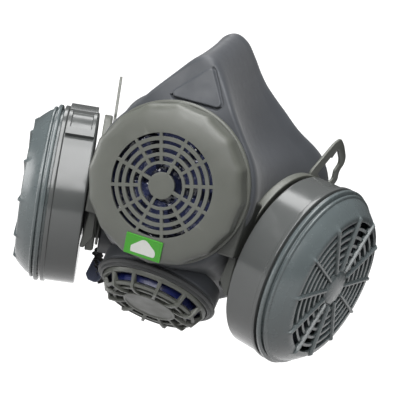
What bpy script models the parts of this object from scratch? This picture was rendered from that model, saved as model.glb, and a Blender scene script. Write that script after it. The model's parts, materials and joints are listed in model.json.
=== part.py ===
"""Half-mask respirator with two screw-on filter cartridges.

Frame: +Z is up, -Y is the front of the mask and +X is the wearer's left.  The
origin is the centre of the face seal, where the wearer's face holds the mask.
Lengths are written in millimetres and turned into metres by make_object.
"""
import math

import bmesh
import bpy
from mathutils import Matrix, Vector

MM = 0.001
GAP = 0.3                       # clearance kept between neighbouring pieces

# Driving dimensions, in millimetres and degrees
SEAL_DEPTH = 85.0               # front of the cap to the centre of the face seal
CAP_RADIUS = 37.2
CAP_GRILLE_RADIUS = 23.5
CAP_DEPTH = 11.2
CAP_LOBES = 16
CAP_SPOKES = 12
CAP_SPOKE_TURN = 15.0           # how far the cap is screwed past its upright
HOUSING_RADIUS = 37.8
HOUSING_BARREL = 31.0

CARTRIDGE_RADIUS = 45.0
CARTRIDGE_DEPTH = 18.5          # cover groove back to the rear wall
COVER_HEIGHT = 12.6             # cover groove out to the grille
GRILLE_RADIUS = 35.9
GRILLE_RIBS = 12
GRILLE_TURN = 3.0               # how far the cover is turned past its upright
GRILLE_SLOTS = 6
PORT_CENTRE = (70.9, 53.4, -30.4)   # centre of the cover groove
PORT_SWING = 70.0               # port axis turned from straight ahead
PORT_DROP = -5.0                # port axis below level
PORT_BORE = 16.0
PORT_TUBE = 20.0
PLATE_RADIUS = 40.5
PLATE_RISE = 4.0                # plate centre above the port axis
PLATE_BOTTOM = -19.0
PLATE_FRONT = -21.3
PLATE_BACK = -25.5
PLATE_FLOOR = -22.8

VALVE_CENTRE = (0.0, 34.0, -66.1)
VALVE_TILT = 36.0               # valve axis forward of straight down
VALVE_HUB = 13.7
VALVE_RIM = 24.3
VALVE_SHOULDER = 27.5
VALVE_BOSS = 31.5
VALVE_BORE = 24.0
VALVE_RIBS = 12
ODD_SEGMENTS = 33               # keeps a cutter's corners off the mirror plane

WALL = 2.6                      # rubber thickness
LIP_REACH = 0.17                # seal lip, as a share of the rim's radius
RIM_SAMPLES = 36
# Seal rim seen from the front, one side, top to bottom: x, depth, height
RIM = ((0, 68, 73), (6, 70, 70.5), (11, 73.5, 64), (15.5, 77, 57),
       (21, 80, 50.5), (30, 84, 42.5), (41, 89, 33), (56, 100, 21),
       (63, 105, 3), (62, 103, -20), (45, 88, -49), (30, 80, -61), (0, 75, -71))
NOSE_HEIGHT = 51.5
NOSE_RADIUS = 7.5
FACE_RADIUS = 40.5
FACE_DEPTH = 15.6
NOSE_LEAN = 4.5


# ---------------------------------------------------------------- helpers
def clear_scene():
    for obj in list(bpy.data.objects):
        bpy.data.objects.remove(obj, do_unlink=True)


def place(x, depth, z):
    """Point given by its depth behind the cap's front plane."""
    return Vector((x, depth - SEAL_DEPTH, z)) * MM


def axis_frame(origin, direction):
    """Matrix whose local Z points along the direction and local Y upwards."""
    z = Vector(direction).normalized()
    x = Vector((0, 0, 1)).cross(z).normalized()
    y = z.cross(x)
    turn = Matrix((x, y, z)).transposed().to_4x4()
    return Matrix.Translation(place(*origin)) @ turn


def port_frame(side):
    """Frame of a cartridge port; side is +1 on the wearer's left."""
    swing, drop = math.radians(PORT_SWING), math.radians(PORT_DROP)
    axis = (side * math.sin(swing) * math.cos(drop),
            -math.cos(swing) * math.cos(drop), math.sin(drop))
    x, depth, z = PORT_CENTRE
    return axis_frame((side * x, depth, z), axis)


def valve_frame():
    tilt = math.radians(VALVE_TILT)
    return axis_frame(VALVE_CENTRE, (0, -math.sin(tilt), -math.cos(tilt)))


CAP_FRAME = axis_frame((0, 0, 0), (0, -1, 0))


def make_material(name, colour, roughness, metallic=0.0, alpha=1.0):
    material = bpy.data.materials.new(name)
    material.use_nodes = True
    shader = material.node_tree.nodes["Principled BSDF"]
    shader.inputs["Base Color"].default_value = (*colour, 1.0)
    shader.inputs["Roughness"].default_value = roughness
    shader.inputs["Metallic"].default_value = metallic
    shader.inputs["Alpha"].default_value = alpha
    return material


def make_object(name, mesh_parts, frame, finish):
    """Object from (vertices in mm, faces), faces turned outwards."""
    vertices, faces = mesh_parts
    mesh = bpy.data.meshes.new(name)
    bm = bmesh.new()
    made = [bm.verts.new(v) for v in vertices]
    for face in faces:
        corners = list(dict.fromkeys(face))
        if len(corners) > 2:
            bm.faces.new([made[i] for i in corners])
    bmesh.ops.recalc_face_normals(bm, faces=bm.faces)
    bmesh.ops.triangulate(bm, faces=bm.faces)
    bm.to_mesh(mesh)
    bm.free()
    mesh.shade_smooth()
    mesh.set_sharp_from_angle(angle=math.radians(35))
    obj = bpy.data.objects.new(name, mesh)
    bpy.context.collection.objects.link(obj)
    obj.matrix_world = frame @ Matrix.Scale(MM, 4)
    obj.data.materials.append(make_material(name, *finish))
    return obj


def make_cutter(name, mesh_parts, frame):
    cutter = make_object(name, mesh_parts, frame, ((0.5, 0.5, 0.5), 0.5))
    cutter.hide_render = True
    cutter.display_type = "WIRE"
    return cutter


def combine(obj, other, operation):
    modifier = obj.modifiers.new(f"{operation.lower()}_{other.name}", "BOOLEAN")
    modifier.operation = operation
    modifier.object = other
    modifier.solver = "EXACT"


def combine_all(obj, others, operation):
    """One Boolean with a whole group of operands."""
    group = bpy.data.collections.new(f"{obj.name}_{operation.lower()}")
    for other in others:
        group.objects.link(other)
    modifier = obj.modifiers.new(group.name, "BOOLEAN")
    modifier.operation = operation
    modifier.operand_type = "COLLECTION"
    modifier.collection = group
    modifier.solver = "EXACT"


def circle_columns(count, start=0.0):
    """Evenly spaced column angles, the same at every radius."""
    angles = [start + math.tau * k / count for k in range(count)]
    return lambda radius: angles


def rib_columns(ribs, rib_width, steps, start=0.0):
    """Column angles for straight ribs with slots of so many steps between."""
    def angles(radius):
        half = math.asin(min(rib_width / 2 / max(radius, rib_width), 0.9))
        pitch = math.tau / ribs
        out = []
        for rib in range(ribs):
            centre = start + rib * pitch
            out.append(centre - half)
            for step in range(steps):
                out.append(centre + half + (pitch - 2 * half) * step / steps)
        return out
    return angles


def ring_points(vertices, radius, height, angles, lobe):
    """Add one ring of vertices; at the axis it is one vertex, repeated."""
    if radius < 1e-6:
        vertices.append((0, 0, height))
        return [len(vertices) - 1] * len(angles)
    first = len(vertices)
    for angle in angles:
        r = radius * lobe(radius, angle) if lobe else radius
        vertices.append((r * math.cos(angle), r * math.sin(angle), height))
    return list(range(first, len(vertices)))


def turned(profile, segments=28):
    """Solid of revolution of a closed (radius, height) outline."""
    vertices, faces = [], []
    angles = circle_columns(segments)(1)
    rings = [ring_points(vertices, r, z, angles, None) for r, z in profile]
    for k, ring in enumerate(rings):
        other = rings[(k + 1) % len(rings)]
        for j in range(segments):
            n = (j + 1) % segments
            faces.append((ring[j], ring[n], other[n], other[j]))
    return vertices, faces


def tube(inner, outer, low, high, segments=28):
    """Ring or, with no inner radius, a disc between two heights."""
    if inner == 0:
        return turned(((0, low), (outer, low), (outer, high), (0, high)), segments)
    outline = ((inner, low), (outer, low), (outer, high), (inner, high))
    return turned(outline, segments)


def pierced(outer, inner, columns, is_open, lobe=None):
    """Wall between two profiles; cells (row, column) that are open go through."""
    vertices, faces = [], []
    front = [ring_points(vertices, r, z, columns(r), lobe) for r, z in outer]
    back = [ring_points(vertices, r, z, columns(r), lobe) for r, z in inner]
    rows, count = len(outer) - 1, len(columns(1))

    def open_cell(row, column):
        return 0 <= row < rows and is_open(row, column % count)

    def side(row_a, col_a, row_b, col_b):
        a, b = col_a % count, col_b % count
        faces.append((front[row_a][a], front[row_b][b], back[row_b][b], back[row_a][a]))

    for row in range(rows):
        for j in range(count):
            n = (j + 1) % count
            if not open_cell(row, j):
                for layer in (front, back):
                    faces.append((layer[row][j], layer[row][n],
                                  layer[row + 1][n], layer[row + 1][j]))
                continue
            if not open_cell(row - 1, j):
                side(row, j, row, j + 1)
            if not open_cell(row + 1, j):
                side(row + 1, j, row + 1, j + 1)
            if not open_cell(row, j - 1):
                side(row, j, row + 1, j)
            if not open_cell(row, j + 1):
                side(row, j + 1, row + 1, j + 1)
    for row in (0, rows):
        if outer[row][0] > 0:
            for j in range(count):
                side(row, j, row, j + 1)
    return vertices, faces


def hull(points):
    """Convex solid around a set of points."""
    bm = bmesh.new()
    for point in points:
        bm.verts.new(point)
    made = bmesh.ops.convex_hull(bm, input=bm.verts)
    bmesh.ops.delete(bm, geom=made["geom_interior"], context="VERTS")
    bm.verts.index_update()
    vertices = [tuple(v.co) for v in bm.verts]
    faces = [tuple(v.index for v in f.verts) for f in bm.faces]
    bm.free()
    return vertices, faces


def box(low, high):
    corners = [(x, y, z) for x in (low[0], high[0]) for y in (low[1], high[1])
               for z in (low[2], high[2])]
    return hull(corners)


def layered(outline_layers):
    """Stack of (outline, height) layers with a flat face at both ends."""
    vertices, faces = [], []
    count = len(outline_layers[0][0])
    for outline, height in outline_layers:
        vertices += [(x, y, height) for x, y in outline]
    for layer in range(len(outline_layers) - 1):
        low, high = layer * count, (layer + 1) * count
        for j in range(count):
            n = (j + 1) % count
            faces.append((low + j, low + n, high + n, high + j))
    faces.append(tuple(range(count)))
    faces.append(tuple(range(len(vertices) - count, len(vertices))))
    return vertices, faces


# ---------------------------------------------------------------- finishes
HARD_GREY = ((0.165, 0.175, 0.155), 0.42)
BODY_GREY = ((0.19, 0.20, 0.20), 0.25)
COVER_GREY = ((0.125, 0.150, 0.155), 0.30)
RUBBER = ((0.070, 0.078, 0.092), 0.55)
DARK_RUBBER = ((0.035, 0.036, 0.036), 0.6)
BLUE = ((0.015, 0.020, 0.170), 0.35)
SILICONE = ((0.62, 0.64, 0.62), 0.4)
FILM = ((0.80, 0.83, 0.86), 0.08)
CARBON = ((0.02, 0.02, 0.02), 0.9)
GRID_WHITE = ((0.72, 0.72, 0.70), 0.6)
FELT = ((0.045, 0.050, 0.065), 0.95)
STICKER = ((0.07, 0.48, 0.03), 0.4)
BLACK_WEB = ((0.012, 0.012, 0.013), 0.7)
TAB_GREY = ((0.085, 0.095, 0.13), 0.5)


# ---------------------------------------------------------------- front port
def cap_lobe(radius, angle):
    """Shallow scallops around the cap's rim."""
    if radius < 33.0:
        return 1.0
    turn = math.radians(CAP_SPOKE_TURN)
    return 1.0 - 0.012 * (1.0 - math.cos(CAP_LOBES * (angle - turn)))


def front_cap():
    share = (0.257, 0.41, 0.467, 0.56, 0.63, 0.714, 0.79, 0.857, 0.933, 1.0)
    radii = [s * CAP_GRILLE_RADIUS for s in share]
    outer = [(0, 0)] + [(r, 0) for r in radii]
    inner = [(0, -1.6)] + [(r, -1.6) for r in radii]
    outer += [(35.0, -2.3), (CAP_RADIUS - 0.9, -3.4), (CAP_RADIUS, -CAP_DEPTH)]
    inner += [(33.9, -4.0), (34.2, -5.2), (34.4, -CAP_DEPTH)]
    steps = 2
    columns = rib_columns(CAP_SPOKES, 1.5, steps, math.radians(CAP_SPOKE_TURN))
    inner_slots, inner_spokes = 1, (2, 5, 8, 11)

    def is_open(row, column):
        rib = column % (steps + 1) == 0
        if row == inner_slots:
            return not (rib and column // (steps + 1) in inner_spokes)
        return row in (3, 5, 7, 9) and not rib
    parts = pierced(outer, inner, columns, is_open, cap_lobe)
    return make_object("front_cap", parts, CAP_FRAME, HARD_GREY)


def cap_sticker():
    """Plain green label lying on the cap's sloping face."""
    slope = math.atan2(2.3, 35.0 - CAP_GRILLE_RADIUS)
    seat = Matrix.Translation(Vector((-1.0, -29.3, -0.45)) * MM)
    lean = Matrix.Rotation(slope, 4, "X")
    parts = box((-8.7, -4.85, 0), (8.7, 4.85, 0.3))
    return make_object("cap_sticker", parts, CAP_FRAME @ seat @ lean, STICKER)


def front_housing():
    outline = ((30.0, -5.8), (33.1, -5.8), (33.1, -11.6), (HOUSING_RADIUS - 0.6, -11.6),
               (HOUSING_RADIUS, -12.2), (HOUSING_RADIUS, -14.0), (HOUSING_BARREL, -14.0),
               (HOUSING_BARREL, -24.0), (28.0, -24.0), (28.0, -10.0), (30.0, -10.0))
    return make_object("front_housing", turned(outline), CAP_FRAME, HARD_GREY)


def front_port_pieces():
    make_object("cap_gasket", tube(30.3, 32.7, -5.5, -4.7), CAP_FRAME, DARK_RUBBER)
    make_object("housing_nut", tube(HOUSING_BARREL + 0.4, 36.0, -20.6, -17.6),
                CAP_FRAME, HARD_GREY)
    make_object("speech_diaphragm", tube(0, 26.8, -4.3, -4.05), CAP_FRAME, FILM)
    outer = ((0, -5.6), (8, -5.6), (23.5, -6.2), (25.0, -4.6), (29.6, -4.6))
    inner = ((0, -7.4), (8, -7.4), (23.0, -8.0), (25.0, -9.0), (29.6, -9.6))
    columns = rib_columns(6, 4.0, 3)
    parts = pierced(outer, inner, columns, lambda row, col: row == 1 and col % 4 != 0)
    make_object("diaphragm_frame", parts, CAP_FRAME, BLUE)


# ---------------------------------------------------------------- facepiece
def smooth(t):
    t = min(max(t, 0.0), 1.0)
    return t * t * (3 - 2 * t)


def rim_at(angle):
    """Radius and depth of the seal rim at a polar angle on the wearer's left."""
    keys = [(math.atan2(z, x), math.hypot(x, z), depth) for x, depth, z in RIM]
    for k in range(len(keys) - 1):
        above, below = keys[k][0], keys[k + 1][0]
        if angle >= below - 1e-9:
            t = (above - angle) / (above - below)
            return curve(keys, k, t, 1), curve(keys, k, t, 2)
    return keys[-1][1], keys[-1][2]


def curve(keys, k, t, column):
    """Smooth curve through the stations, level at both ends."""
    def slope(i):
        if i in (0, len(keys) - 1):
            return 0.0
        span = keys[i - 1][0] - keys[i + 1][0]
        return (keys[i + 1][column] - keys[i - 1][column]) / span
    step = keys[k][0] - keys[k + 1][0]
    a, b = keys[k][column], keys[k + 1][column]
    p, q = slope(k) * step, slope(k + 1) * step
    return (a * (1 + 2 * t) * (1 - t) ** 2 + p * t * (1 - t) ** 2
            + b * t * t * (3 - 2 * t) - q * t * t * (1 - t))


def face_edge(angle):
    """Front face outline: a circle drawn up to a small nose circle."""
    reach = math.asin((FACE_RADIUS - NOSE_RADIUS) / NOSE_HEIGHT)
    radius = FACE_RADIUS
    if math.sin(angle) > math.sin(reach):
        across = abs(math.cos(angle))
        straight = FACE_RADIUS / (across * math.cos(reach) + math.sin(angle) * math.sin(reach))
        rise = NOSE_HEIGHT * math.sin(angle)
        inside = NOSE_RADIUS ** 2 - NOSE_HEIGHT ** 2 + rise ** 2
        round_top = rise + math.sqrt(inside) if inside > 0 else straight
        radius = min(straight, round_top)
    depth = FACE_DEPTH + NOSE_LEAN * smooth((radius * math.sin(angle) - 38) / 20)
    return radius, depth


def waist(angle):
    """How far the side walls are drawn in, least over the nose and the jaw."""
    nose = math.exp(-((angle - math.pi / 2) / 0.45) ** 2)
    jaw = math.exp(-((angle + math.radians(52)) / 0.35) ** 2)
    return 9.5 - 9.0 * nose - 11.0 * jaw


def facepiece_section(angle):
    """Closed wall outline at one polar angle as (radius, depth) stations."""
    face, face_depth = face_edge(angle)
    rim, rim_depth = rim_at(angle)
    hole = HOUSING_BARREL + GAP

    def wall(share, thickness):
        pull = waist(angle) * 4 * share * (1 - share)
        radius = face + (rim - face) * share - pull - thickness
        return radius, face_depth + (rim_depth - face_depth) * share
    front = [(hole, 14.3), (face - 2.5, face_depth - 1.1), (face, face_depth + 0.8)]
    outside = [wall(s, 0) for s in (0.3, 0.6, 0.88)]
    tip = rim * (1 - LIP_REACH)
    lip = [(rim, rim_depth - 2.0), (rim - 1.2, rim_depth), (tip, rim_depth - 4.6),
           (tip + 0.2, rim_depth - 6.6), (rim - 4.2, rim_depth - 3.2)]
    inside = [wall(s, WALL) for s in (0.85, 0.6, 0.3)]
    back = [(face - 3.4, face_depth + 2.6), (hole, 14.3 + WALL + 0.3)]
    return front + outside + lip + inside + back


def rim_angles():
    """Polar angles around the mask, closer together over the nose."""
    out = []
    for k in range(RIM_SAMPLES):
        u = math.tau * k / RIM_SAMPLES
        out.append(math.pi / 2 + u - 0.45 * math.sin(u))
    return out


def facepiece():
    vertices, faces = [], []
    angles = rim_angles()
    count = len(facepiece_section(0))
    for angle in angles:
        for radius, depth in facepiece_section(folded(angle)):
            vertices.append((radius * math.cos(angle), radius * math.sin(angle), -depth))
    for k in range(len(angles)):
        n = (k + 1) % len(angles)
        for j in range(count):
            m = (j + 1) % count
            faces.append((k * count + j, k * count + m, n * count + m, n * count + j))
    shell = make_object("facepiece", (vertices, faces), CAP_FRAME, RUBBER)
    sides = ((1, "left"), (-1, "right"))
    added = [make_cutter("valve_boss", tube(0, VALVE_BOSS, -19.0, -10.5, 32), valve_frame())]
    cuts = [make_cutter("front_hole", tube(0, HOUSING_BARREL + GAP, -26.0, -10.0), CAP_FRAME),
            make_cutter("nut_room", tube(0, 36.6, -26.5, -17.2), CAP_FRAME),
            make_cutter("valve_bore", tube(0, VALVE_BORE, -40.0, -5.0, ODD_SEGMENTS), valve_frame())]
    for side, word in sides:
        frame = port_frame(side)
        added.append(make_cutter(f"grommet_{word}", tube(0, 27.6, -38.0, -27.6, 24), frame))
        bore = tube(0, PORT_TUBE + 0.4, -60.0, -20.0, 24)
        cuts.append(make_cutter(f"port_hole_{word}", bore, frame))
        cuts.append(make_cutter(f"port_nut_room_{word}", tube(0, 26.5, -61.0, -37.9, 24), frame))
        cuts.append(make_cutter(f"arm_room_{word}", arm_solid(side, 0.5), CAP_FRAME))
    combine_all(shell, added, "UNION")
    combine_all(shell, cuts, "DIFFERENCE")
    return shell


def folded(angle):
    """The matching angle on the wearer's left, because both sides are alike."""
    return math.asin(max(-1.0, min(1.0, math.sin(angle))))


# ---------------------------------------------------------------- side ports
def plate_outline(inset):
    """Round plate with a flat bottom edge."""
    radius = PLATE_RADIUS - inset
    low = PLATE_BOTTOM + inset
    start = math.asin((low - PLATE_RISE) / radius)
    sweep = math.pi - 2 * start
    points = []
    steps = 28
    for k in range(steps + 1):
        angle = start + sweep * k / steps
        points.append((radius * math.cos(angle), PLATE_RISE + radius * math.sin(angle)))
    return points


def arm_solid(side, grow):
    """Arm that ties a port plate to the front housing, in the cap's frame."""
    to_cap = CAP_FRAME.inverted() @ port_frame(side)
    points = []
    for x, z in ((29, 3), (38.5, 3), (29, -25), (37, -25)):
        for depth in (14.4 - grow, 22 + grow):
            points.append(Vector((side * (x + grow * (1 if x > 30 else -1)),
                                  z + grow * (1 if z > 0 else -1), -depth)))
    for x, y in ((-36, 22), (-38.5, 4), (-34, -14), (-16, 30), (-16, -15)):
        for height in (PLATE_BACK - 1.5 - grow, PLATE_FLOOR + grow):
            local = Vector((side * x, y + grow * (1 if y > 0 else -1), height)) * MM
            points.append((to_cap @ local) / MM)
    return hull(points)


def port_housing(side, word):
    frame = port_frame(side)
    layers = ((plate_outline(0.6), PLATE_BACK), (plate_outline(0), PLATE_BACK + 0.7),
              (plate_outline(0), PLATE_FRONT), (plate_outline(1.8), PLATE_FRONT),
              (plate_outline(1.8), PLATE_FLOOR))
    plate = make_object(f"port_housing_{word}", layered(layers), frame, HARD_GREY)
    pipe = tube(0, PORT_TUBE, -41.0, PLATE_FLOOR - 1.0)
    combine(plate, make_cutter(f"port_pipe_{word}", pipe, frame), "UNION")
    arm = make_cutter(f"arm_{word}", arm_solid(side, 0), CAP_FRAME)
    combine(plate, arm, "UNION")
    bore = tube(0, PORT_BORE, -45.0, -10.0)
    combine(plate, make_cutter(f"port_bore_{word}", bore, frame), "DIFFERENCE")
    drum = tube(0, CARTRIDGE_RADIUS + 1.6, -19.0, 10.0)
    combine(plate, make_cutter(f"drum_room_{word}", drum, frame), "DIFFERENCE")
    seat = tube(0, 22.0, PLATE_FLOOR + 0.1, -10.0)
    combine(plate, make_cutter(f"seat_room_{word}", seat, frame), "DIFFERENCE")
    flange = tube(0, HOUSING_RADIUS + 0.4, -14.35, 5.0)
    combine(plate, make_cutter(f"flange_room_{word}", flange, CAP_FRAME), "DIFFERENCE")
    ring = tube(PORT_TUBE + 0.15, 24.3, -34.0, PLATE_BACK - 0.05)
    combine(plate, make_cutter(f"ring_room_{word}", ring, frame), "DIFFERENCE")
    barrel = tube(0, 36.6, -26.0, -10.0)
    combine(plate, make_cutter(f"barrel_room_{word}", barrel, CAP_FRAME), "DIFFERENCE")


def port_pieces(side, word):
    frame = port_frame(side)
    nut = tube(PORT_TUBE + 0.4, 25.4, -41.0, -38.3, 28)
    make_object(f"port_nut_{word}", nut, frame, HARD_GREY)
    rim = PORT_BORE - GAP
    outer = ((0, -36.2), (1.4, -36.2), (1.6, -36.2), (2.6, -36.2), (11.5, -36.2), (rim, -36.2))
    inner = ((0, -40.9), (1.4, -40.9), (1.6, -38.2), (2.6, -38.2), (11.5, -38.2), (rim, -38.2))
    spokes, steps = 4, 5
    columns = rib_columns(spokes, 2.2, steps)
    seat = pierced(outer, inner, columns, lambda row, col: row == 3 and col % (steps + 1) != 0)
    make_object(f"inhale_valve_seat_{word}", seat, frame, BLUE)
    flap = tube(2.0, 14.0, -39.3, -38.6, 28)
    make_object(f"inhale_valve_flap_{word}", flap, frame, SILICONE)
    gasket = tube(16.2, 19.6, PLATE_FLOOR + GAP, -CARTRIDGE_DEPTH - GAP, 28)
    make_object(f"port_gasket_{word}", gasket, frame, DARK_RUBBER)


def harness_loop(side, word):
    """Ring round the port tube with an arm that ends in a strap loop."""
    frame = port_frame(side)
    low, high = -27.3, -25.9
    ring = make_object(f"harness_loop_{word}", tube(0, 23.5, low, high, 24), frame, HARD_GREY)

    def block(name, points, grow):
        solid = [(side * x, y, z) for x, y in points
                 for z in (low + 0.02 - grow, high - 0.02 + grow)]
        return make_cutter(f"{name}_{word}", hull(solid), frame)
    arm = ((-2, 15), (20, 8), (44.0, 41.0), (44.5, 52.5), (36, 60), (29, 63), (26.5, 61.5), (11, 44))
    combine(ring, block("loop_arm", arm, 0), "UNION")
    slot = ((20.5, 44), (33.5, 38), (39.5, 42.5), (39.5, 50), (33, 55.5), (29.5, 56.5))
    combine(ring, block("loop_slot", slot, 2.0), "DIFFERENCE")
    bore = tube(0, PORT_TUBE + 0.4, -30, -24)
    combine(ring, make_cutter(f"loop_bore_{word}", bore, frame), "DIFFERENCE")


# ---------------------------------------------------------------- cartridges
def cartridge_body(side, word):
    r = CARTRIDGE_RADIUS
    back = -CARTRIDGE_DEPTH
    outline = ((12.8, -33.0), (15.5, -33.0), (15.5, back), (r - 3.5, back), (r - 0.4, back + 1.4),
               (r, back + 4.0), (r, -3.4), (r + 1.0, -3.0), (r + 1.0, -1.6), (r - 0.2, -1.0),
               (r - 1.5, -1.0), (r - 1.5, back + 1.8), (12.8, back + 1.8))
    parts = turned(outline, 36)
    make_object(f"cartridge_body_{word}", parts, port_frame(side), BODY_GREY)


def filter_grid(name, height, side):
    """Perforated disc that holds the filter bed."""
    radii = (0, 6, 22, 26, 41, 43)
    outer = [(r, height) for r in radii]
    inner = [(r, height - 0.8) for r in radii]
    steps = 2
    columns = rib_columns(6, 3.0, steps)
    parts = pierced(outer, inner, columns,
                    lambda row, col: row in (1, 3) and col % (steps + 1) != 0)
    make_object(name, parts, port_frame(side), GRID_WHITE)


def cartridge_filling(side, word):
    frame = port_frame(side)
    inside = CARTRIDGE_RADIUS - 1.9
    filter_grid(f"rear_grid_{word}", -15.4, side)
    make_object(f"sorbent_bed_{word}", tube(0, inside, -15.0 + 0.2, -6.8), frame, CARBON)
    filter_grid(f"front_grid_{word}", -5.6, side)
    make_object(f"filter_pad_{word}", tube(0, 40.6, -5.2, 2.4), frame, FELT)


def cartridge_cover(side, word):
    top, r = COVER_HEIGHT, CARTRIDGE_RADIUS
    slot_pitch, slot_width, first = 4.35, 2.9, 9.8
    radii = [0.0]
    for slot in range(GRILLE_SLOTS):
        radii += [first + slot_pitch * slot, first + slot_pitch * slot + slot_width]
    outer = [(x, top) for x in radii]
    inner = [(x, top - 1.6) for x in radii]
    outer += [(GRILLE_RADIUS + 0.6, top), (r - 1.8, 4.0), (r + 0.2, 3.2), (r + 0.2, 0.4),
              (r - 2.0, 0.2), (r - 2.0, -4.6)]
    inner += [(GRILLE_RADIUS, top - 1.6), (r - 4.0, 3.4), (r - 3.7, 2.4), (r - 3.6, 0.9),
              (r - 3.6, 0.2), (r - 3.6, -4.6)]
    steps = 2
    columns = rib_columns(GRILLE_RIBS, 2.0, steps, math.radians(GRILLE_TURN))

    def is_open(row, column):
        slot_row = row % 2 == 1 and row < 2 * GRILLE_SLOTS
        return slot_row and column % (steps + 1) != 0
    parts = pierced(outer, inner, columns, is_open)
    make_object(f"cartridge_cover_{word}", parts, port_frame(side), COVER_GREY)


# ---------------------------------------------------------------- exhalation valve
def exhale_cover():
    outer = ((0, 0), (VALVE_HUB, 0), (18.2, -0.2), (19.6, -0.3), (VALVE_RIM - 1.0, -0.4),
             (VALVE_RIM, -0.9), (VALVE_SHOULDER, -5.35), (28.3, -6.2), (28.6, -8.7))
    inner = ((0, -1.5), (VALVE_HUB, -1.5), (18.2, -1.7), (19.6, -1.8), (VALVE_RIM - 1.9, -1.9),
             (VALVE_RIM - 1.2, -2.2), (VALVE_SHOULDER - 1.5, -5.7), (26.7, -6.6), (27.0, -8.7))
    steps = 1
    columns = rib_columns(VALVE_RIBS, 1.5, steps, math.radians(15))
    parts = pierced(outer, inner, columns,
                    lambda row, col: row in (1, 3, 5) and col % (steps + 1) != 0)
    make_object("exhale_cover", parts, valve_frame(), HARD_GREY)


def exhale_seat():
    """Blue seat ring with a spider that carries the flap's pin."""
    outer = ((0, -2.4), (1.4, -2.4), (1.41, -6.4), (3.0, -6.4), (17.0, -6.4),
             (17.4, -5.4), (19.6, -5.4), (20.0, -3.4), (22.8, -3.4), (23.4, -9.0), (28.8, -9.0))
    inner = ((0, -8.4), (1.4, -8.4), (1.6, -8.4), (3.0, -8.4), (17.0, -8.4),
             (17.4, -8.8), (19.6, -12.0), (20.4, -17.0), (23.4, -17.0), (23.5, -10.2), (28.8, -10.2))
    steps = 3
    columns = rib_columns(6, 2.0, steps)
    parts = pierced(outer, inner, columns,
                    lambda row, col: row == 3 and col % (steps + 1) != 0)
    make_object("exhale_valve_seat", parts, valve_frame(), BLUE)


def exhale_pieces():
    frame = valve_frame()
    exhale_cover()
    exhale_seat()
    make_object("exhale_valve_flap", tube(2.0, 19.0, -5.0, -4.2, 24), frame, DARK_RUBBER)
    clamp = ((29.2, -10.2), (31.2, -10.2), (31.6, -8.4), (30.6, -7.2), (29.2, -7.2))
    make_object("exhale_clamp_ring", turned(clamp, 28), frame, DARK_RUBBER)


# ---------------------------------------------------------------- neck strap
def neck_strap(side, word):
    """End of the elastic neck strap with its pull tab, at the lower lug."""
    path = ((47, 69, -55.5), (46, 70, -60), (43.5, 71, -66), (41, 72, -73))
    vertices, faces = [], []
    half_width, half_thick = 5.5, 1.1
    for x, depth, z in path:
        for along in (-half_width, half_width):
            for across in (-half_thick, half_thick):
                vertices.append((side * (x + across), z, -(depth + along)))
    ring = (0, 1, 3, 2)
    for step in range(len(path) - 1):
        base = 4 * step
        for k in range(4):
            a, b = ring[k], ring[(k + 1) % 4]
            faces.append((base + a, base + b, base + 4 + b, base + 4 + a))
    faces.append(ring)
    faces.append(tuple(4 * (len(path) - 1) + k for k in ring))
    make_object(f"neck_strap_{word}", (vertices, faces), CAP_FRAME, BLACK_WEB)
    outline = []
    for k in range(20):
        angle = math.tau * k / 20
        outline.append((5.5 * math.cos(angle), 4.6 * math.sin(angle)))
    tab = layered(((outline, -0.9), (outline, 0.9)))
    seat = axis_frame((side * 49.5, 68, -66), (side * 0.92, -0.36, 0.15))
    make_object(f"strap_tab_{word}", tab, seat, TAB_GREY)


def build():
    clear_scene()
    front_cap()
    cap_sticker()
    front_housing()
    front_port_pieces()
    facepiece()
    exhale_pieces()
    for side, word in ((1, "left"), (-1, "right")):
        port_housing(side, word)
        port_pieces(side, word)
        harness_loop(side, word)
        cartridge_body(side, word)
        cartridge_filling(side, word)
        cartridge_cover(side, word)
        neck_strap(side, word)


build()
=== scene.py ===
"""Looks of the half-mask respirator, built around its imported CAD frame.

Local frames are in millimetres: Z runs along a joint's axis, away from the
mask, and Y points up.  Radii and heights come from the CAD nodes where they can.
"""
import json
import math

import bmesh
import bpy
from mathutils import Matrix, Vector, noise


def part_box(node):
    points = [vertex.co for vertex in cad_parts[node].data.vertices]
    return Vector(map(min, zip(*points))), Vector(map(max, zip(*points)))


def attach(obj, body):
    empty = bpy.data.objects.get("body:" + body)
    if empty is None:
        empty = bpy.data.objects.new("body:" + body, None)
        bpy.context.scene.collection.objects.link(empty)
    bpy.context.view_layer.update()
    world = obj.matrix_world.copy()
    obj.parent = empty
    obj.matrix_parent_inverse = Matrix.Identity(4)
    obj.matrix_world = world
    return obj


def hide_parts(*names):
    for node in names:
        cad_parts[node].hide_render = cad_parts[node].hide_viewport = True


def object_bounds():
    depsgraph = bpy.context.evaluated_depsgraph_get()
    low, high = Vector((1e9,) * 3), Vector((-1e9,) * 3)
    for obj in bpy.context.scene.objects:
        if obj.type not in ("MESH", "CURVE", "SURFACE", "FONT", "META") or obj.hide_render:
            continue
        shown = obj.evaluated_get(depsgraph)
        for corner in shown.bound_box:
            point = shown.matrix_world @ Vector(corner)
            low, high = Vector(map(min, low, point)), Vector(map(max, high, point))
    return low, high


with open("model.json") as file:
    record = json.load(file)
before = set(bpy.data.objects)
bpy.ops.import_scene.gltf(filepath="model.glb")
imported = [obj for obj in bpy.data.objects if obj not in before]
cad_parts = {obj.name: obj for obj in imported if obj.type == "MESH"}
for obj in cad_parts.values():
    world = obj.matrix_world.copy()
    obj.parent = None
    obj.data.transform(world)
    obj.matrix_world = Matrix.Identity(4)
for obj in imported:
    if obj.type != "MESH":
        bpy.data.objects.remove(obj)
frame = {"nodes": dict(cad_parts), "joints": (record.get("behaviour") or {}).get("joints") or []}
CAD_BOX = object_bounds()
MM = 0.001
JOINTS = {joint["name"]: joint for joint in frame["joints"]}
SIDES = ((1, "left"), (-1, "right"))


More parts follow.
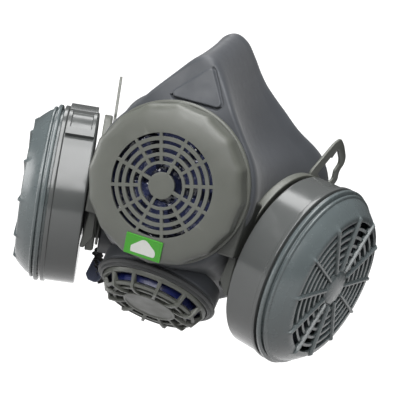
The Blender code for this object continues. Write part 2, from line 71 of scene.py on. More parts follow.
# ---------------------------------------------------------------- local frames
def local_frame(origin, axis):
    """Millimetre frame at a point in metres, with Z along an axis and X level."""
    z = Vector(axis).normalized()
    x = Vector((0, 0, 1)).cross(z).normalized()
    turn = Matrix((x, z.cross(x), z)).transposed().to_4x4()
    return Matrix.Translation(Vector(origin)) @ turn @ Matrix.Scale(MM, 4)


def joint_frame(name):
    return local_frame(JOINTS[name]["pos_m"], JOINTS[name]["axis"])


def reach(node, place):
    """Largest radius, lowest and highest height of a CAD node in a local frame."""
    back = place.inverted()
    points = [back @ v.co for v in frame["nodes"][node].data.vertices]
    heights = [p.z for p in points]
    return max(math.hypot(p.x, p.y) for p in points), min(heights), max(heights)


CAP = joint_frame("front_cap_turn")
VALVE = joint_frame("exhale_cover_turn")
PORT = {word: joint_frame(f"cartridge_turn_{word}") for _, word in SIDES}

CAP_R, CAP_BACK, CAP_TOP = reach("front_cap", CAP)
FLANGE_R, FLANGE_BACK, _ = reach("front_housing", CAP)
DRUM_R, SPIGOT_END, _ = reach("cartridge_body_left", PORT["left"])
DRUM_R -= 1.0                       # without its ridge
_, COVER_LOW, COVER_TOP = reach("cartridge_cover_left", PORT["left"])
DOME_R, DOME_BACK, _ = reach("exhale_cover", VALVE)
DOME_R -= 1.4                       # the moulding is slimmer than its solid

GRILLE_R = 23.5                     # cap's slotted middle
CAP_LOBES = 16
CAP_SPOKES = 12
CAP_TURN = math.radians(15)         # first spoke
COVER_GRILLE_R = 35.9               # cartridge cover's slotted middle
COVER_RIBS = 12
COVER_TURN = math.radians(3)
COVER_SLOTS = 6
DRUM_BACK = -18.5                   # floor of the drum
PLATE_R, PLATE_RISE, PLATE_BOTTOM = 40.5, 4.0, -19.0        # port plate, raised off its axis
PLATE_BACK, PLATE_FLOOR, PLATE_FRONT = -25.5, -22.8, -21.3
PIPE_R, BORE_R = 20.0, 16.0         # port pipe
HUB_R, DOME_EDGE, DOME_SHOULDER = 13.7, 23.2, 26.2  # exhalation cover: hub, flat face, shoulder
BOSS_R, BOSS_BORE = 29.9, 22.4      # chin boss that holds the exhalation valve
BARREL_R = 31.0                     # barrel of the front housing
NUT_R, PORT_NUT_R = 36.0, 25.4      # ring nuts of the housing and of the ports
GAP = 0.3                           # clearance of the rubber round hard parts
WALL = 2.6                          # rubber wall

# Facepiece: seal rim stations (x, depth, height) and the front face's outline
RIM = ((0, 68, 73), (6, 70, 70.5), (11, 73.5, 64), (15.5, 77, 57),
       (21, 80, 50.5), (30, 84, 42.5), (41, 89, 33), (56, 100, 21),
       (63, 105, 3), (62, 103, -20), (45, 88, -49), (30, 80, -61), (0, 75, -71))
LIP_REACH = 0.17
NOSE_HEIGHT, NOSE_R = 51.0, 8.6
FACE_R, FACE_DEPTH, NOSE_LEAN = 40.5, 15.6, 6.5
PANEL = ((-13.4, 37.8), (15.0, 38.2), (3.8, 56.0))   # raised panel on the nose
PANEL_ROUND = 2.2


# ---------------------------------------------------------------- materials
def new_material(name, colour, roughness):
    material = bpy.data.materials.new(name)
    material.use_nodes = True
    shader = material.node_tree.nodes["Principled BSDF"]
    shader.inputs["Base Color"].default_value = (*colour, 1.0)
    shader.inputs["Roughness"].default_value = roughness
    return material, shader


def add_noise(material, scale, detail=3.0, stretch=(1, 1, 1)):
    """Noise in object space, so many lumps to the metre."""
    tree = material.node_tree
    coords = tree.nodes.new("ShaderNodeTexCoord")
    mapping = tree.nodes.new("ShaderNodeMapping")
    mapping.inputs["Scale"].default_value = stretch
    made = tree.nodes.new("ShaderNodeTexNoise")
    made.inputs["Scale"].default_value = scale
    made.inputs["Detail"].default_value = detail
    tree.links.new(coords.outputs["Object"], mapping.inputs["Vector"])
    tree.links.new(mapping.outputs["Vector"], made.inputs["Vector"])
    return made.outputs["Fac"]


def tint(material, shader, colour, factor, low, high):
    """Colour that swings between two strengths of itself with a factor."""
    ramp = material.node_tree.nodes.new("ShaderNodeValToRGB")
    ramp.color_ramp.elements[0].position = 0.3
    ramp.color_ramp.elements[1].position = 0.7
    ramp.color_ramp.elements[0].color = (*[c * low for c in colour], 1)
    ramp.color_ramp.elements[1].color = (*[c * high for c in colour], 1)
    links = material.node_tree.links
    links.new(factor, ramp.inputs["Fac"])
    links.new(ramp.outputs["Color"], shader.inputs["Base Color"])
    return ramp.outputs["Color"]


def wear(material, shader, base, colour, amount):
    """Lighter colour where the surface turns sharply outwards."""
    nodes, links = material.node_tree.nodes, material.node_tree.links
    geometry = nodes.new("ShaderNodeNewGeometry")
    edge = nodes.new("ShaderNodeMapRange")
    edge.inputs["From Min"].default_value = 0.52
    edge.inputs["From Max"].default_value = 0.62
    edge.inputs["To Max"].default_value = amount
    mix = nodes.new("ShaderNodeMix")
    mix.data_type = "RGBA"
    mix.inputs["B"].default_value = (*colour, 1)
    links.new(geometry.outputs["Pointiness"], edge.inputs["Value"])
    links.new(edge.outputs["Result"], mix.inputs["Factor"])
    links.new(base, mix.inputs["A"])
    links.new(mix.outputs["Result"], shader.inputs["Base Color"])


def vary_roughness(material, shader, factor, low, high):
    spread = material.node_tree.nodes.new("ShaderNodeMapRange")
    spread.inputs["From Min"].default_value = 0.3
    spread.inputs["From Max"].default_value = 0.7
    spread.inputs["To Min"].default_value = low
    spread.inputs["To Max"].default_value = high
    links = material.node_tree.links
    links.new(factor, spread.inputs["Value"])
    links.new(spread.outputs["Result"], shader.inputs["Roughness"])


def add_bump(material, shader, height, strength, depth_mm):
    bump = material.node_tree.nodes.new("ShaderNodeBump")
    bump.inputs["Strength"].default_value = strength
    bump.inputs["Distance"].default_value = depth_mm * MM
    links = material.node_tree.links
    links.new(height, bump.inputs["Height"])
    links.new(bump.outputs["Normal"], shader.inputs["Normal"])


def moulded(name, colour, roughness, grain=0.25, mottle=0.07, worn=0.35):
    """Moulded plastic: soft mottling, fine grain and slightly pale edges."""
    material, shader = new_material(name, colour, roughness)
    shader.inputs["IOR"].default_value = 1.5
    cloud = add_noise(material, 55, 4)
    base = tint(material, shader, colour, cloud, 1 - mottle, 1 + mottle)
    wear(material, shader, base, [min(1, c * 1.7 + 0.02) for c in colour], worn)
    vary_roughness(material, shader, add_noise(material, 160, 3), roughness * 0.82, roughness * 1.2)
    add_bump(material, shader, add_noise(material, 1500, 2), grain, 0.04)
    return material


def rubber(name, colour, roughness):
    """Soft moulded rubber: dusty mottling, a powdery sheen and a fine skin."""
    material, shader = new_material(name, colour, roughness)
    shader.inputs["Specular IOR Level"].default_value = 0.35
    shader.inputs["Sheen Weight"].default_value = 0.12
    shader.inputs["Sheen Roughness"].default_value = 0.5
    cloud = add_noise(material, 38, 5)
    base = tint(material, shader, colour, cloud, 0.9, 1.1)
    wear(material, shader, base, [min(1, c * 1.5 + 0.02) for c in colour], 0.3)
    vary_roughness(material, shader, add_noise(material, 220, 4), roughness * 0.88, roughness * 1.12)
    add_bump(material, shader, add_noise(material, 900, 4), 0.22, 0.06)
    return material


def clear_film(name):
    """Thin glossy sheet with shallow creases, tinted dark navy: painted shade of the mask's dark inside
    seen through it, in the blue of its frame.
    """
    material, shader = new_material(name, (0.030, 0.036, 0.085), 0.10)
    shader.inputs["Transmission Weight"].default_value = 0.6
    shader.inputs["IOR"].default_value = 1.45
    add_bump(material, shader, add_noise(material, 170, 2), 1.0, 2.4)
    return material


def fibrous(name, colour, scale, depth_mm):
    """Felt or granules: coarse speckle with a rough relief."""
    material, shader = new_material(name, colour, 0.95)
    speckle = add_noise(material, scale, 6)
    tint(material, shader, colour, speckle, 0.5, 1.6)
    add_bump(material, shader, speckle, 0.9, depth_mm)
    return material


def woven(name, colour):
    """Narrow elastic webbing: ribs across the strap and a fine yarn."""
    material, shader = new_material(name, colour, 0.8)
    shader.inputs["Sheen Weight"].default_value = 0.5
    tree = material.node_tree
    coords = tree.nodes.new("ShaderNodeTexCoord")
    ribs = tree.nodes.new("ShaderNodeTexWave")
    ribs.bands_direction = "Z"
    ribs.inputs["Scale"].default_value = 320
    ribs.inputs["Distortion"].default_value = 2.5
    ribs.inputs["Detail"].default_value = 2
    tree.links.new(coords.outputs["Object"], ribs.inputs["Vector"])
    tint(material, shader, colour, ribs.outputs["Fac"], 0.6, 1.8)
    add_bump(material, shader, ribs.outputs["Fac"], 0.8, 0.25)
    return material


HARD_GREY = moulded("hard_grey", (0.088, 0.092, 0.080), 0.42)
# Hard grey darkened to about a third: painted shade for the port arms and webs, which lie in shadow
# between the cap and the cartridges.
ARM_SHADED_GREY = moulded("arm_grey_painted_shade", (0.031, 0.033, 0.029), 0.5)
BODY_GREY = moulded("body_grey", (0.075, 0.079, 0.078), 0.16, grain=0.05, mottle=0.04, worn=0.2)
COVER_GREY = moulded("cover_grey", (0.082, 0.098, 0.101), 0.26, grain=0.08, mottle=0.05, worn=0.3)
FACE_RUBBER = rubber("face_rubber", (0.047, 0.051, 0.058), 0.5)
DARK_RUBBER = rubber("dark_rubber", (0.022, 0.023, 0.024), 0.5)
BLUE = moulded("blue_plastic", (0.008, 0.013, 0.080), 0.28, grain=0.1, worn=0.25)
SILICONE = rubber("silicone", (0.60, 0.62, 0.60), 0.4)
# Clear film tinted dark: painted shade of the dark inside behind the cap's grille.
SHADE_TINTED_FILM = clear_film("clear_film")
CARBON = fibrous("carbon", (0.02, 0.02, 0.02), 900, 0.6)
FELT = fibrous("filter_felt", (0.045, 0.050, 0.070), 1400, 0.25)
WHITE = moulded("white_plastic", (0.70, 0.70, 0.68), 0.45)
LABEL = moulded("label_green", (0.030, 0.250, 0.006), 0.35, grain=0.05, worn=0.0)
LABEL_WHITE = moulded("label_white", (0.55, 0.56, 0.53), 0.4, grain=0.05, worn=0.0)
WEBBING = woven("black_webbing", (0.014, 0.014, 0.015))
TAB = rubber("tab_grey", (0.170, 0.190, 0.290), 0.35)


# ---------------------------------------------------------------- mesh tools
def put(name, data):
    """New object in the scene."""
    made = bpy.data.objects.new(name, data)
    bpy.context.scene.collection.objects.link(made)
    return made


def build(name, parts, place, unit=1.0, triangles=False):
    """Mesh from (vertices in the local frame, faces), without repeated corners."""
    vertices, faces = parts
    bm = bmesh.new()
    made = [bm.verts.new((place @ Vector(v)) / unit) for v in vertices]
    for face in faces:
        corners = list(dict.fromkeys(face))
        if len(corners) > 2:
            bm.faces.new([made[i] for i in corners])
    bmesh.ops.recalc_face_normals(bm, faces=bm.faces)
    if triangles:
        bmesh.ops.triangulate(bm, faces=bm.faces)
    mesh = bpy.data.meshes.new(name)
    bm.to_mesh(mesh)
    bm.free()
    return mesh


def add_piece(name, parts, place, material, body, stands_for=(), soft=0.0, sharp=40):
    """Piece from (vertices in the local frame, faces)."""
    add_mesh(name, build(name, parts, place), material, body, stands_for, soft, sharp)


def add_mesh(name, mesh, material, body, stands_for=(), soft=0.0, sharp=40):
    """Piece riding on a body, with bevels of soft mm where it turns by sharp degrees."""
    mesh.shade_smooth()
    mesh.set_sharp_from_angle(angle=math.radians(sharp))
    piece = put(name, mesh)
    mesh.materials.clear()
    mesh.materials.append(material)
    if soft:
        edge = piece.modifiers.new("soft_edges", "BEVEL")
        edge.width = soft * MM
        edge.segments = 2
        edge.limit_method = "ANGLE"
        edge.angle_limit = math.radians(sharp)
        edge.harden_normals = True
    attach(piece, body)
    if stands_for:
        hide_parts(*stands_for)


def bend(a, b, c, steps):
    """Points along a soft corner from a to c round b."""
    a, b, c = Vector(a), Vector(b), Vector(c)
    return [tuple(a * (1 - t) ** 2 + b * 2 * t * (1 - t) + c * t * t)
            for t in (i / steps for i in range(steps + 1))]


def fillet(profile, setback, steps=4):
    """Round the corners of a closed outline; a third value is a corner's own setback."""
    out = []
    for k, corner in enumerate(profile):
        here = Vector(corner[:2])
        own = corner[2] if len(corner) > 2 else setback
        before = Vector(profile[k - 1][:2]) - here
        after = Vector(profile[(k + 1) % len(profile)][:2]) - here
        back = min(own, 0.45 * before.length, 0.45 * after.length)
        if here.x < 1e-6 or back == 0:
            out.append(tuple(here))
            continue
        start, end = here + before.normalized() * back, here + after.normalized() * back
        out += bend(start, here, end, steps)
    return out


def ring_points(vertices, radius, heights, angles, lobe=None):
    """Add one ring of vertices; at the axis it is one vertex, repeated."""
    if radius < 1e-6:
        vertices.append((0, 0, heights[0]))
        return [len(vertices) - 1] * len(angles)
    first = len(vertices)
    for angle, height in zip(angles, heights):
        r = lobe(radius, angle) if lobe else radius
        vertices.append((r * math.cos(angle), r * math.sin(angle), height))
    return list(range(first, len(vertices)))


def turned(profile, segments=128, lobe=None):
    """Solid of revolution of a closed (radius, height) outline."""
    vertices, faces = [], []
    angles = [math.tau * k / segments for k in range(segments)]
    rings = [ring_points(vertices, r, [z] * segments, angles, lobe) for r, z in profile]
    for k, ring in enumerate(rings):
        other = rings[(k + 1) % len(rings)]
        for j in range(segments):
            n = (j + 1) % segments
            faces.append((ring[j], ring[n], other[n], other[j]))
    return vertices, faces


RIB_CELLS = 3                       # side, top and side of a rib


def rib_columns(ribs, width, steps, start=0.0, crown=0.6):
    """Angles of each rib's two feet and two top edges, then the slot's steps."""
    def angles(radius):
        half = math.asin(min(width / 2 / max(radius, width), 0.9))
        pitch = math.tau / ribs
        out = []
        for rib in range(ribs):
            centre = start + rib * pitch
            out += [centre - half, centre - half * crown, centre + half * crown]
            for step in range(steps):
                out.append(centre + half + (pitch - 2 * half) * step / steps)
        return out
    return angles


def pierced(outer, inner, columns, steps, is_open, rise=None, lobe=None):
    """Wall between two profiles. Slot cells in open rows go through, and the
    ribs' tops stand proud by each row's rise."""
    vertices, faces = [], []
    pitch = RIB_CELLS + steps
    count = len(columns(1.0))
    rise = rise or [0.0] * len(outer)

    def on_top(column):
        return column % pitch in (1, 2)
    front = [ring_points(vertices, r, [z + (up if on_top(j) else 0) for j in range(count)],
                         columns(r), lobe) for (r, z), up in zip(outer, rise)]
    back = [ring_points(vertices, r, [z] * count, columns(r), lobe) for r, z in inner]
    rows = len(outer) - 1

    def open_cell(row, column):
        in_slot = (column % count) % pitch >= RIB_CELLS
        return 0 <= row < rows and is_open(row, (column % count) // pitch, in_slot)

    def side(row_a, col_a, row_b, col_b):
        a, b = col_a % count, col_b % count
        faces.append((front[row_a][a], front[row_b][b], back[row_b][b], back[row_a][a]))

    for row in range(rows):
        for j in range(count):
            n = (j + 1) % count
            if not open_cell(row, j):
                for layer in (front, back):
                    faces.append((layer[row][j], layer[row][n],
                                  layer[row + 1][n], layer[row + 1][j]))
                continue
            if not open_cell(row - 1, j):
                side(row, j, row, j + 1)
            if not open_cell(row + 1, j):
                side(row + 1, j, row + 1, j + 1)
            if not open_cell(row, j - 1):
                side(row, j, row + 1, j)
            if not open_cell(row, j + 1):
                side(row, j + 1, row + 1, j + 1)
    for row in (0, rows):
        if outer[row][0] > 0:
            for j in range(count):
                side(row, j, row, j + 1)
    return vertices, faces


def hull(points):
    """Convex solid around a set of points."""
    bm = bmesh.new()
    for point in points:
        bm.verts.new(point)
    made = bmesh.ops.convex_hull(bm, input=bm.verts)
    bmesh.ops.delete(bm, geom=made["geom_interior"], context="VERTS")
    bmesh.ops.dissolve_limit(bm, angle_limit=math.radians(3), verts=bm.verts, edges=bm.edges)
    bm.verts.index_update()
    parts = [tuple(v.co) for v in bm.verts], [tuple(v.index for v in f.verts) for f in bm.faces]
    bm.free()
    return parts


def smooth(t):
    t = min(max(t, 0.0), 1.0)
    return t * t * (3 - 2 * t)


# ---------------------------------------------------------------- front cap
def cap_lobe(radius, angle):
    """Sixteen soft corners that fade in towards the cap's rim."""
    span = math.tau / CAP_LOBES
    off = (angle - CAP_TURN + span / 2) % span - span / 2
    flat = math.cos(span / 2) / math.cos(off)
    return radius * (1 - 1.25 * (1 - flat) * smooth((radius - 32.0) / 3.6))


def front_cap():
    share = (0.257, 0.41, 0.467, 0.56, 0.63, 0.714, 0.79, 0.857, 0.933, 1.0)
    radii = [s * GRILLE_R for s in share]
    outer = [(0, CAP_TOP + 0.15), (5.2, CAP_TOP + 0.15)] + [(r, CAP_TOP) for r in radii]
    inner = [(0, -1.6), (5.2, -1.6)] + [(r, -1.6) for r in radii]
    face = ((25.0, -0.12), (28.0, -0.55), (31.0, -1.15), (33.5, -1.75), (35.0, -2.3),
            (CAP_R - 1.2, -3.1), (CAP_R - 0.75, -4.0), (CAP_R - 0.3, -7.5), (CAP_R, CAP_BACK + 0.5),
            (CAP_R - 0.4, CAP_BACK))
    under = ((25.0, -1.75), (28.0, -2.2), (31.0, -2.8), (32.4, -3.3), (33.2, -3.9),
             (33.9, -4.4), (34.2, -5.2), (34.3, -7.5), (34.4, CAP_BACK + 0.5), (34.5, CAP_BACK))
    outer += face
    inner += under
    steps = 13
    open_rows = (4, 6, 8, 10)
    wide_row = 2
    crossing = (2, 5, 8, 11)        # spokes that cross the innermost slot

    def is_open(row, rib, in_slot):
        if row == wide_row:
            return in_slot or rib not in crossing
        return row in open_rows and in_slot
    columns = rib_columns(CAP_SPOKES, 1.5, steps, CAP_TURN)
    parts = pierced(outer, inner, columns, steps, is_open, lobe=cap_lobe)
    add_piece("cap_shell", parts, CAP, HARD_GREY, "cap", ("front_cap",), soft=0.16)


def plate_parts(outline, low, high):
    """Flat plate with an (x, y) outline between two heights."""
    count = len(outline)
    vertices = [(x, y, low) for x, y in outline] + [(x, y, high) for x, y in outline]
    faces = [tuple(range(count)), tuple(range(count, 2 * count))]
    for j in range(count):
        n = (j + 1) % count
        faces.append((j, n, count + n, count + j))
    return vertices, faces


def cap_sticker():
    """Plain green label with a plain white patch, on the cap's sloping face."""
    slope = math.atan2(2.3, 35.0 - GRILLE_R)
    seat = CAP @ Matrix.Translation(Vector((-1.0, -29.3, -0.35))) @ Matrix.Rotation(slope, 4, "X")
    corners = ((-8.8, -4.9), (8.8, -4.9), (8.8, 4.9), (-8.8, 4.9))
    outline = fillet(corners, 0.5)
    add_piece("label", plate_parts(outline, -0.6, 0.30), seat, LABEL, "cap",
              ("cap_sticker",), soft=0.08)
    patch = fillet(((-5.6, -3.4), (6.0, -3.4), (6.2, -0.6), (0.3, 4.6), (-5.8, -0.6)), 2.6, 6)
    add_piece("label_oval", plate_parts(patch, 0.2, 0.36), seat, LABEL_WHITE, "cap")


# ---------------------------------------------------------------- behind the cap
def front_housing():
    edge = FLANGE_R
    outline = ((30.0, -5.8), (33.0, -5.8), (33.0, -11.6), (edge - 0.7, -11.6), (edge, -12.2),
               (edge, -14.0), (BARREL_R, -14.0), (BARREL_R, FLANGE_BACK), (28.0, FLANGE_BACK),
               (28.0, -10.0), (30.0, -10.0))
    add_piece("housing_shell", turned(fillet(outline, 0.5)), CAP, HARD_GREY, "mask",
              ("front_housing",))


def ripple(x, y):
    """Shallow creases of the loose film, none at its clamped edge."""
    hold = 1 - smooth((math.hypot(x, y) - 20.0) / 6.0)
    coarse = noise.noise(Vector((x * 0.16, y * 0.16, 3.7)))
    fine = noise.noise(Vector((x * 0.42, y * 0.42, 9.1)))
    return hold * (0.9 * coarse + 0.32 * fine)


def front_port_pieces():
    gasket = ((30.3, -5.5), (32.7, -5.5), (32.7, -4.7), (30.3, -4.7))
    add_piece("gasket_ring", turned(fillet(gasket, 0.3)), CAP, DARK_RUBBER, "mask",
              ("cap_gasket",))
    nut = ((BARREL_R + 0.4, -20.6), (NUT_R, -20.6), (NUT_R, -17.6), (BARREL_R + 0.4, -17.6))
    knurl = 48
    parts = turned(fillet(nut, 0.5), 288, lambda r, a: r - (0.5 * (r > 34) * (math.cos(knurl * a) > 0)))
    add_piece("housing_ring_nut", parts, CAP, HARD_GREY, "mask", ("housing_nut",))
    radii = [26.8 * k / 30 for k in range(31)]
    film = [(r, -4.3) for r in radii] + [(r, -4.05) for r in reversed(radii)]
    vertices, faces = turned(film, 120)
    crumpled = [(x, y, z + ripple(x, y)) for x, y, z in vertices]
    add_piece("film_disc", (crumpled, faces), CAP, SHADE_TINTED_FILM, "mask",
              ("speech_diaphragm",), sharp=60)
    outer = ((0, -5.0), (6.8, -5.0), (8, -5.6), (23.5, -6.2), (24.2, -5.6), (25.0, -4.6), (29.6, -4.6))
    inner = ((0, -7.4), (6.8, -7.4), (8, -7.4), (23.0, -8.0), (24.0, -8.6), (25.0, -9.0), (29.6, -9.6))
    steps = 10
    parts = pierced(outer, inner, rib_columns(6, 4.0, steps), steps,
                    lambda row, rib, in_slot: row == 2 and in_slot, rise=(0, 0, 0.6, 0.6, 0, 0, 0))
    add_piece("film_frame", parts, CAP, BLUE, "mask", ("diaphragm_frame",), soft=0.2)


# ---------------------------------------------------------------- facepiece
def rim_at(angle):
    """Radius and depth of the seal rim at a polar angle on the wearer's left."""
    keys = [(math.atan2(z, x), math.hypot(x, z), depth) for x, depth, z in RIM]
    for k in range(len(keys) - 1):
        above, below = keys[k][0], keys[k + 1][0]
        if angle >= below - 1e-9:
            t = (above - angle) / (above - below)
            return curve(keys, k, t, 1), curve(keys, k, t, 2)
    return keys[-1][1], keys[-1][2]


def curve(keys, k, t, column):
    """Smooth curve through the stations, level at both ends."""
    def slope(i):
        if i in (0, len(keys) - 1):
            return 0.0
        return (keys[i + 1][column] - keys[i - 1][column]) / (keys[i - 1][0] - keys[i + 1][0])
    step = keys[k][0] - keys[k + 1][0]
    a, b = keys[k][column], keys[k + 1][column]
    p, q = slope(k) * step, slope(k + 1) * step
    return (a * (1 + 2 * t) * (1 - t) ** 2 + p * t * (1 - t) ** 2
            + b * t * t * (3 - 2 * t) - q * t * t * (1 - t))


def face_edge(angle):
    """Front face outline, eased where its straight sides meet its circles."""
    spread = [edge_point(angle + math.radians(step)) for step in range(-4, 5)]
    return [sum(column) / len(spread) for column in zip(*spread)]


def edge_point(angle):
    """Front face outline: a circle, straight flanks and a small circle at the nose."""
    across, up = abs(math.cos(angle)), math.sin(angle)
    lean = math.asin((FACE_R - NOSE_R) / NOSE_HEIGHT)
    radius = FACE_R
    if up > math.sin(lean):
        radius = FACE_R / (across * math.cos(lean) + up * math.sin(lean))
    if up / max(across, 1e-6) > (NOSE_HEIGHT + NOSE_R * math.sin(lean)) / (NOSE_R * math.cos(lean)):
        radius = NOSE_HEIGHT * up + math.sqrt(NOSE_R ** 2 - (NOSE_HEIGHT * across) ** 2)
    return radius, FACE_DEPTH + NOSE_LEAN * smooth((radius * up - 38) / 20)


def waist(angle):
    """How far the side walls are drawn in, least over the nose."""
    nose = math.exp(-((angle - math.pi / 2) / 0.45) ** 2)
    jaw = math.exp(-((angle + math.radians(52)) / 0.35) ** 2)
    return 9.5 - 9.0 * nose - 11.0 * jaw


def facepiece_section(angle, face_steps, wall_steps):
    """Closed wall outline at one polar angle as (radius, depth) stations."""
    face, face_depth = face_edge(angle)
    rim, rim_depth = rim_at(angle)
    hole = BARREL_R + GAP
    tip = rim * (1 - LIP_REACH)

    def wall(share, thickness):
        pull = waist(angle) * 4 * share * (1 - share)
        radius = face + (rim - face) * share - pull - thickness
        return radius, face_depth + (rim_depth - face_depth) * share
    start, corner = (hole, 14.3), (face, face_depth - 0.6)
    front = []
    for i in range(face_steps):
        t = i / (face_steps - 1) * (face - 2.8 - hole) / (face - hole)
        front.append((start[0] + (corner[0] - start[0]) * t, start[1] + (corner[1] - start[1]) * t))
    ridge = bend(front[-1], corner, wall(0.10, 0), 8)[1:]
    outside = [wall(0.10 + 0.78 * i / wall_steps, 0) for i in range(1, wall_steps + 1)]
    lip = bend(outside[-1], (rim, rim_depth - 2.2), (rim - 0.6, rim_depth - 0.5), 4)[1:]
    lip += bend(lip[-1], (rim - 1.4, rim_depth + 0.3), (rim - 3.0, rim_depth - 0.8), 3)[1:]
    lip += bend(lip[-1], (rim * 0.9, rim_depth - 3.4), (tip, rim_depth - 4.8), 3)[1:]
    lip += bend(lip[-1], (tip - 0.9, rim_depth - 5.9), (tip + 0.3, rim_depth - 6.6), 3)[1:]
    lip += bend(lip[-1], (rim - 6.0, rim_depth - 5.0), (rim - 4.2, rim_depth - 3.4), 3)[1:]
    inside = [wall(0.85 - 0.7 * i / wall_steps, WALL) for i in range(wall_steps + 1)]
    back = bend(inside[-1], (face - 3.0, face_depth + 2.4), (face - 6.0, face_depth + 2.2), 3)[1:]
    back += [(hole, 17.2)]
    return front + ridge + outside + lip + inside + back


def panel_relief(x, y):
    """Raised nose panel with a groove, deepest along its lower and right edges."""
    nearest, facing = -1e9, Vector((0, 0))
    for k, corner in enumerate(PANEL):
        a, b = Vector(corner), Vector(PANEL[(k + 1) % 3])
        out = Vector(((b - a).y, -(b - a).x)).normalized()
        gap = (Vector((x, y)) - a).dot(out) + PANEL_ROUND
        if gap > nearest:
            nearest, facing = gap, out
    if nearest > 0:                 # round the corners of the shrunken triangle
        nearest = panel_distance(x, y)
    gap = nearest - PANEL_ROUND
    depth = 1.35 * smooth((facing.x * 0.8 - facing.y + 0.25) / 0.9)
    plateau = 0.55 * (1 - smooth((gap + 0.8) / 0.8))
    groove = depth * smooth((gap + 0.4) / 0.5) * (1 - smooth((gap - 0.45) / 0.7))
    return plateau - groove


def panel_distance(x, y):
    """Distance to the panel's triangle after it is drawn in by the corner radius."""
    point = Vector((x, y))
    centre = sum((Vector(c) for c in PANEL), Vector((0, 0))) / 3
    corners = []
    for k in range(3):
        corner, after, before = (Vector(PANEL[(k + i) % 3]) for i in (0, 1, 2))
        half = (after - corner).angle(before - corner) / 2
        inward = ((after - corner).normalized() + (before - corner).normalized()).normalized()
        corners.append(corner + inward * PANEL_ROUND / math.sin(half))
    nearest, outside = 1e9, False
    for k in range(3):
        offset, along = point - corners[k], corners[(k + 1) % 3] - corners[k]
        t = min(max(offset.dot(along) / along.length_squared, 0), 1)
        nearest = min(nearest, (offset - along * t).length)
        outside = outside or offset.dot(Vector((along.y, -along.x))) > 0
    return nearest if outside else -nearest


def face_angles(quick):
    """Polar angles round the mask, closest together over the nose panel."""
    fine, coarse = (0.9, 4.0) if quick else (0.42, 2.0)
    nose, out, angle = 34.0, [], -180.0
    while angle < 180.0 - 1e-6:
        out.append(math.radians(90 + angle))
        blend = smooth((abs(angle) - nose) / 12)
        angle += fine + (coarse - fine) * blend
    return out


def facepiece():
    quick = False
    face_steps, wall_steps = (30, 12) if quick else (62, 26)
    vertices, faces = [], []
    angles = face_angles(quick)
    for angle in angles:
        folded = math.asin(max(-1.0, min(1.0, math.sin(angle))))
        section = facepiece_section(folded, face_steps, wall_steps)
        for k, (radius, depth) in enumerate(section):
            x, y = radius * math.cos(angle), radius * math.sin(angle)
            relief = panel_relief(x, y) if k < face_steps and y > 34 else 0.0
            vertices.append((x, y, relief - depth))
        count = len(section)
    for k in range(len(angles)):
        n = (k + 1) % len(angles)
        for j in range(count):
            m = (j + 1) % count
            faces.append((k * count + j, k * count + m, n * count + m, n * count + j))
    shell = solid("face_shell", (vertices, faces), CAP)
    boss = fillet(((0, -19.0), (BOSS_R + 0.6, -19.0), (BOSS_R + 0.3, -11.8), (BOSS_R - 0.9, -10.6),
                   (0, -10.6)), 0.6)
    added = [solid("chin_boss", turned(boss, 96), VALVE)]
    cuts = [solid("front_hole", disc(BARREL_R + GAP, -26.0, -10.0), CAP),
            solid("nut_room", disc(NUT_R + 0.6, -26.5, -17.2), CAP),
            solid("valve_bore", disc(BOSS_BORE, -40.0, -5.0, 97), VALVE)]
    for side, word in SIDES:
        grommet = fillet(((0, -38.0), (27.8, -38.0), (27.2, -27.6), (0, -27.6)), 1.2)
        added.append(solid(f"grommet_{word}", turned(grommet, 64), PORT[word]))
        cuts.append(solid(f"port_hole_{word}", disc(PIPE_R + 0.4, -60.0, -20.0, 64), PORT[word]))
        cuts.append(solid(f"port_nut_room_{word}", disc(PORT_NUT_R + 1.1, -61.0, -37.9, 64), PORT[word]))
    mesh = carved(shell, added, cuts)
    add_mesh("face_skin", mesh, FACE_RUBBER, "mask", ("facepiece",), sharp=38)


def disc(radius, low, high, segments=96):
    return turned(((0, low), (radius, low), (radius, high), (0, high)), segments)


def solid(name, parts, place):
    """Helper object for Booleans, in the row frame but in millimetres."""
    return put(name, build(name, parts, place, MM, triangles=True))


def carved(shell, added, cuts):
    """Mesh of a shell with others joined to it and cut from it, back in metres."""
    for operation, operands in (("UNION", added), ("DIFFERENCE", cuts)):
        group = bpy.data.collections.new(f"{shell.name}_{operation.lower()}")
        for operand in operands:
            group.objects.link(operand)
        modifier = shell.modifiers.new(group.name, "BOOLEAN")
        modifier.operation = operation
        modifier.operand_type = "COLLECTION"
        modifier.collection = group
        modifier.solver = "EXACT"
    bpy.context.view_layer.update()
    evaluated = shell.evaluated_get(bpy.context.evaluated_depsgraph_get())
    mesh = bpy.data.meshes.new_from_object(evaluated)
    mesh.transform(Matrix.Scale(MM, 4))
    for helper in [shell, *added, *cuts]:
        bpy.data.objects.remove(helper)
    return mesh


# ---------------------------------------------------------------- side ports
def plate_lobe(radius, angle):
    """Round plate raised above the port axis, with a flat bottom edge."""
    inset = PLATE_R - radius
    sine = math.sin(angle)
    round_part = PLATE_RISE * sine + math.sqrt(radius ** 2 - (PLATE_RISE * math.cos(angle)) ** 2)
    if sine < 0:
        flat = (PLATE_BOTTOM + inset) / sine
        if flat < round_part:
            return flat
    return round_part


